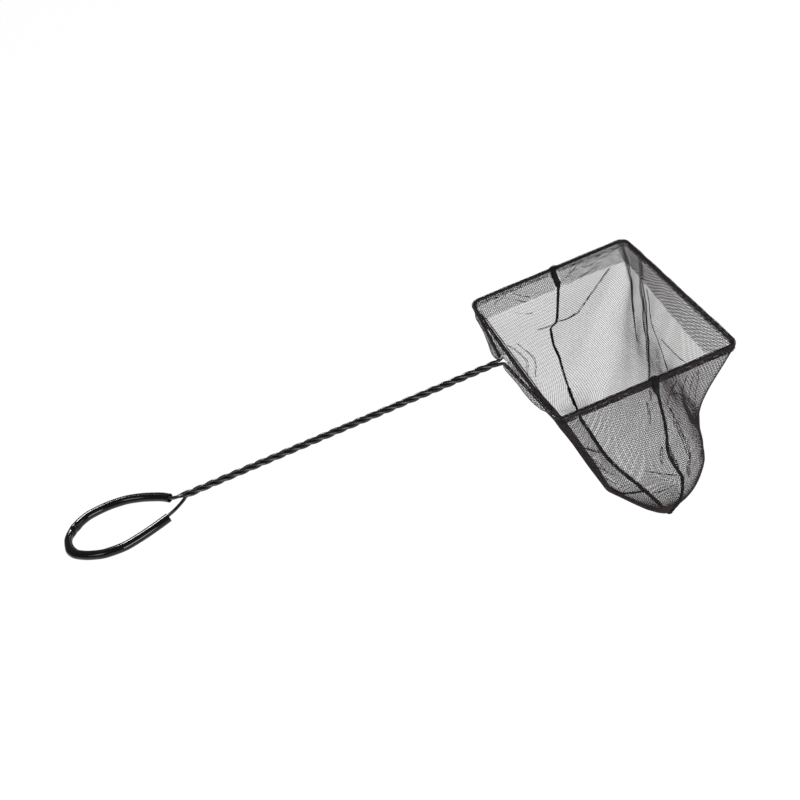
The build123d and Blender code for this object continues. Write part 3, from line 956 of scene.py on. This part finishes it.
class FISHNET_OT_sleeve(bpy.types.Operator):
    """Draw the soft tube of the grip over the loop, kinked where the loop turns"""

    bl_idname = "fish_net.sleeve"
    bl_label = "Grip sleeve"

    def execute(self, context):
        sizes = context.scene.fish_net_sizes
        # Extruded soft PVC: smooth and glossy, with long highlights that break at the kink.
        black = context.scene.fish_net_colours.soft_pvc
        soft = gloss_material(
            "extruded soft PVC tube",
            black,
            rough_low=0.06,
            rough_high=0.16,
            grain_mm=4.0,
            depth_mm=0.03,
            shine=0.3,
        )
        course = np.array(GRIP_COURSE, float)
        knots = run_lengths(course)
        at = np.arange(0, knots[-1], 0.5)
        line = smoothed(through(at, knots, course), 8)
        outward = -left_of(unit(np.gradient(line, axis=0)))
        from_kink = at - knots[GRIP_KINK]
        shares = [np.interp(from_kink, *zip(*table)) for table in (GRIP_PINCH, GRIP_CROWN)]
        pinch, crown = (smoothed(share[:, None], 2)[:, 0] for share in shares)
        height = (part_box("grip_sleeve")[0].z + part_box("grip_sleeve")[1].z) / 2 / MM
        turn = np.arange(GRIP_SIDES) * 2 * math.pi / GRIP_SIDES
        middle = np.concatenate([line, np.full((len(line), 1), height)], axis=1) - (HOOP_X, 0, 0)
        skins = []
        for radius in (sizes.sleeve_outside / MM / 2, sizes.sleeve_inside / MM / 2):
            aside = np.where(np.cos(turn) < 0, np.cos(turn) * pinch[:, None], np.cos(turn))
            ring = outward[:, None] * aside[:, :, None] + UP * (np.sin(turn) * crown[:, None])[:, :, None]
            skins.append((middle[:, None] + ring * radius).reshape(-1, 3))
        count = len(skins[0])
        faces = []
        for first, flip in ((0, False), (count, True)):
            for k in range(len(line) - 1):
                for j in range(GRIP_SIDES):
                    a, b = first + k * GRIP_SIDES + j, first + k * GRIP_SIDES + (j + 1) % GRIP_SIDES
                    quad = (a, b, b + GRIP_SIDES, a + GRIP_SIDES)
                    faces.append(quad[::-1] if flip else quad)
        for start, flip in ((0, True), (count - GRIP_SIDES, False)):
            for j in range(GRIP_SIDES):
                a, b = start + j, start + (j + 1) % GRIP_SIDES
                quad = (a, b, b + count, a + count)
                faces.append(quad[::-1] if flip else quad)
        piece = cloth_object("grip_tube", np.concatenate(skins), np.array(faces), soft)
        context.view_layer.objects.active = piece
        piece.select_set(True)
        bpy.ops.object.shade_smooth_by_angle(angle=math.radians(50))
        finish_piece(piece, "soft_pvc", "grip_sleeve")
        return {"FINISHED"}


class FISHNET_OT_panels(bpy.types.Operator):
    """Lay the threads of the bag's two net panels"""

    bl_idname = "fish_net.panels"
    bl_label = "Net panels"

    def execute(self, context):
        sizes = context.scene.fish_net_sizes
        # Knotless nylon netting, knitted from fine fibres: each thread is nearly black and half matt, and the
        # open net looks like a grey haze that darkens where layers overlap.
        black = context.scene.fish_net_colours.nylon
        nylon = net_material("knotless nylon netting", black, roughness=0.55)
        for name, front, folds, pleats, creases in (
            ("netting_front", True, FRONT_FOLDS, FRONT_PLEATS, FRONT_CREASES),
            ("netting_back", False, BACK_FOLDS, (), BACK_CREASES),
        ):
            cloth, reach = panel_cloth(front)
            rows = np.arange(len(reach))

            def inside(s, d):
                return (s > np.interp(d, rows, reach[:, 0])) & (s < np.interp(d, rows, reach[:, 1]))

            def lift(s, d):
                # The cloth rolls where neither the hem above nor the seam below holds it.
                free = np.clip(d / 25, 0, 1) * np.clip((len(reach) - d) / 15, 0, 1)
                rolls = ripple(11 + front, s, d * 0.5, 7, 18, 45)
                return free * 0.25 * rolls + fold_height(folds, s, d)

            cell = sizes.cell / MM
            threads = net_threads(
                cloth, inside, (reach[:, 0].min(), reach[:, 1].max()), (0, len(reach) - 1), cell, lift
            )
            for pleat in pleats:
                threads += pleat_threads(cloth, pleat, cell, lift)
            for k, crease in enumerate(creases):
                threads += crease_threads(cloth, crease, lift, k + 1)
            vertices, faces = tubes(threads, sizes.net_thread / MM / 2, NET_SIDES)
            piece = cloth_object(name, vertices, faces, nylon)
            finish_piece(piece, "nylon_net", "net_panel_front" if front else "net_panel_back")
        return {"FINISHED"}


class FISHNET_OT_hems(bpy.types.Operator):
    """Fold the net over the hoop wire and hang its allowance inside the mouth"""

    bl_idname = "fish_net.hems"
    bl_label = "Hems"

    def execute(self, context):
        sizes = context.scene.fish_net_sizes
        nylon = bpy.data.materials["knotless nylon netting"]
        for name, front, replaced in (
            ("hem_net_front", True, ("hem_front", "hem_flap_front")),
            ("hem_net_back", False, ("hem_back", "hem_flap_back")),
        ):
            allowance = sizes.hem_allowance / MM
            cloth, lengths, rail, along = hem_cloth(front, allowance)
            ragged = lengths - 0.5 - 0.35 * (1 + ripple(21 + front, along, 0, 9, 4, 40))
            off_vee = np.full(len(rail), HALF_Y) if front else np.abs(rail[:, 1])

            def inside(s, d):
                low = np.interp(s, along, ragged)
                slit = np.interp(s, along, off_vee) < SLIT_HALF
                slit &= (d > SLIT_FROM_START) & (d < np.interp(s, along, lengths) - SLIT_FROM_EDGE)
                return (d < low) & ~slit

            threads = net_threads(
                cloth, inside, (0, along[-1]), (0, lengths.max()), sizes.cell / MM, step=0.45, bias=HEM_BIAS
            )
            for k, (inward, crease) in enumerate(hem_creases(front, along, rail, lengths, allowance)):
                threads += crease_threads(cloth, crease, lambda s, d: np.full(len(s), -inward), 40 + k)
            vertices, faces = tubes(threads, sizes.net_thread / MM / 2, NET_SIDES)
            piece = cloth_object(name, vertices, faces, nylon)
            finish_piece(piece, "folded_net", *replaced)
        return {"FINISHED"}


class FISHNET_OT_stitches(bpy.types.Operator):
    """Sew the hems shut below the wire"""

    bl_idname = "fish_net.stitches"
    bl_label = "Hem stitches"

    def execute(self, context):
        sizes = context.scene.fish_net_sizes
        # Spun polyester thread: hairy and matt, blacker than the net, so that seams stand out as dark lines.
        black = context.scene.fish_net_colours.polyester
        polyester = net_material("spun polyester sewing thread", black, roughness=0.7)
        row_height, step = -3.5, 0.2
        for name, front, replaced in (
            ("hem_stitches_front", True, "stitching_front"),
            ("hem_stitches_back", False, "stitching_back"),
        ):
            edge = HALF_X if front else -HALF_X
            side = 1 if front else -1
            start = TACK_X + side * TACK_HALF
            half = side * HALF_Y
            corners = [(start, half), (edge, half), (edge, -half), (start, -half)]
            path = spaced(filleted(np.array(corners, float), (CORNER_R, CORNER_R)), step)
            outward = left_of(unit(np.gradient(path, axis=0)))
            along = np.arange(len(path)) * step
            wander = 0.25 * ripple(31 + front, along, 0, 6, 5, 40)
            lines = []
            length = round(sizes.stitch / MM / step)
            for face in (1, -1):
                for first in range(2, len(path) - length, length):
                    pick = np.arange(first, first + length, 2)
                    arch = np.sin(np.linspace(0.15, math.pi - 0.15, len(pick)))
                    points = np.concatenate([path[pick], (row_height + wander[pick])[:, None]], axis=1)
                    points = points + outward[pick] * (face * (0.45 + 0.4 * arch))[:, None]
                    lines.append((points, outward[pick] * face))
            vertices, faces = tubes(lines, sizes.sewing_thread / MM / 2, 5)
            piece = cloth_object(name, vertices, faces, polyester)
            finish_piece(piece, "sewing_thread", replaced)
        return {"FINISHED"}


class FISHNET_OT_seams(bpy.types.Operator):
    """Overlock the seam that joins the panels"""

    bl_idname = "fish_net.seams"
    bl_label = "Overlocked seams"

    def execute(self, context):
        sizes = context.scene.fish_net_sizes
        polyester = bpy.data.materials["spun polyester sewing thread"]
        line, out = seam_line()
        low = np.flatnonzero(line[:, 2] < BOTTOM_TURN)
        parts = (
            ("overlock_left", slice(4, low[0] + 1), "side_seam_left"),
            ("overlock_bottom", slice(low[0] - 1, low[-1] + 2), "bottom_seam"),
            ("overlock_right", slice(low[-1], len(line) - 4), "side_seam_right"),
        )
        for k, (name, stretch, replaced) in enumerate(parts):
            path, normal = line[stretch], out[stretch]
            fat = 1.0 if k != 1 else 1.5

            def swell(points):
                return fat * (0.72 + 0.16 * ripple(61 + k, np.arange(len(points)), 0, 6, 4, 22))

            core = tubes([(path, normal)], swell, 8)
            pitch = sizes.overlock_pitch / MM
            thread = sizes.sewing_thread / MM / 2
            wound = helix(path, normal, 0.95 * fat, 0.85 * fat, pitch, 71 + k)
            looped = helix(path + normal * 0.5, normal, 0.5 * fat, 0.5 * fat, pitch * 2.3, 81 + k)
            vertices, faces = joined([core, tubes([wound], thread, 4), tubes([looped], thread, 4)])
            piece = cloth_object(name, vertices, faces, polyester)
            finish_piece(piece, "sewing_thread", replaced)
        return {"FINISHED"}


class FISHNET_OT_tacks(bpy.types.Operator):
    """Catch the side seams into the hem"""

    bl_idname = "fish_net.tacks"
    bl_label = "Seam tacks"

    def execute(self, context):
        sizes = context.scene.fish_net_sizes
        polyester = bpy.data.materials["spun polyester sewing thread"]
        thread = sizes.sewing_thread / MM / 2
        for name, side, course, length in (
            ("tack_left", 1, SEAM_FAR, 15.0),
            ("tack_right", -1, SEAM_NEAR, 9.0),
        ):
            height = np.arange(TACK_TOP, -TACK_TAIL - length, -0.5)
            x = np.where(height > -2, TACK_X, seam_x(course, height))
            drop = smoothed(np.stack([x, np.full(len(height), side * (HALF_Y - 0.2)), height], axis=1), 4)
            normal = np.tile((0.0, float(side), 0.0), (len(drop), 1))

            def bulge(points):
                z = points[:, 2]
                return 1.95 + 0.2 * ripple(91, z, 0, 4, 3, 9) - 1.0 * np.clip((-length - z) / TACK_TAIL, 0, 1)

            core = tubes([(drop[2:], normal[2:])], bulge, 8)
            wound = len(drop) - 6
            winding = tubes([helix(drop[:wound], normal[:wound], 2.2, 1.9, 1.1, 93)], thread, 4)
            rail = np.zeros((13, 3))
            rail[:, 0] = np.linspace(TACK_X - 3, TACK_X + 3, len(rail))
            rail[:, 1] = side * HALF_Y
            over = np.tile(UP, (len(rail), 1))
            wrap = tubes([helix(rail, over, WIRE_R + 0.75, WIRE_R + 0.75, 0.7, 95, 12)], thread, 4)
            vertices, faces = joined([core, winding, wrap])
            piece = cloth_object(name, vertices, faces, polyester)
            finish_piece(piece, "sewing_thread", "seam_tack_left" if side > 0 else "seam_tack_right")
        return {"FINISHED"}


class FISHNET_PT_panel(bpy.types.Panel):
    """Fish net pieces in the sidebar"""

    bl_idname = "FISHNET_PT_panel"
    bl_label = "Fish Net"
    bl_space_type = "VIEW_3D"
    bl_region_type = "UI"
    bl_category = "Fish Net"

    def draw(self, context):
        for step in STEPS:
            self.layout.operator(step.bl_idname)


STEPS = (
    FISHNET_OT_stage,
    FISHNET_OT_wire,
    FISHNET_OT_sleeve,
    FISHNET_OT_panels,
    FISHNET_OT_hems,
    FISHNET_OT_stitches,
    FISHNET_OT_seams,
    FISHNET_OT_tacks,
)
CLASSES = (FishNetSizes, FishNetColours, *STEPS, FISHNET_PT_panel)


def register():
    for item in CLASSES:
        bpy.utils.register_class(item)
    bpy.types.Scene.fish_net_sizes = bpy.props.PointerProperty(type=FishNetSizes)
    bpy.types.Scene.fish_net_colours = bpy.props.PointerProperty(type=FishNetColours)


def unregister():
    del bpy.types.Scene.fish_net_colours
    del bpy.types.Scene.fish_net_sizes
    for item in reversed(CLASSES):
        bpy.utils.unregister_class(item)


def main():
    register()
    bpy.ops.fish_net.stage()
    bpy.ops.fish_net.wire()
    bpy.ops.fish_net.sleeve()
    bpy.ops.fish_net.panels()
    bpy.ops.fish_net.hems()
    bpy.ops.fish_net.stitches()
    bpy.ops.fish_net.seams()
    bpy.ops.fish_net.tacks()


if __name__ == "__main__":
    main()
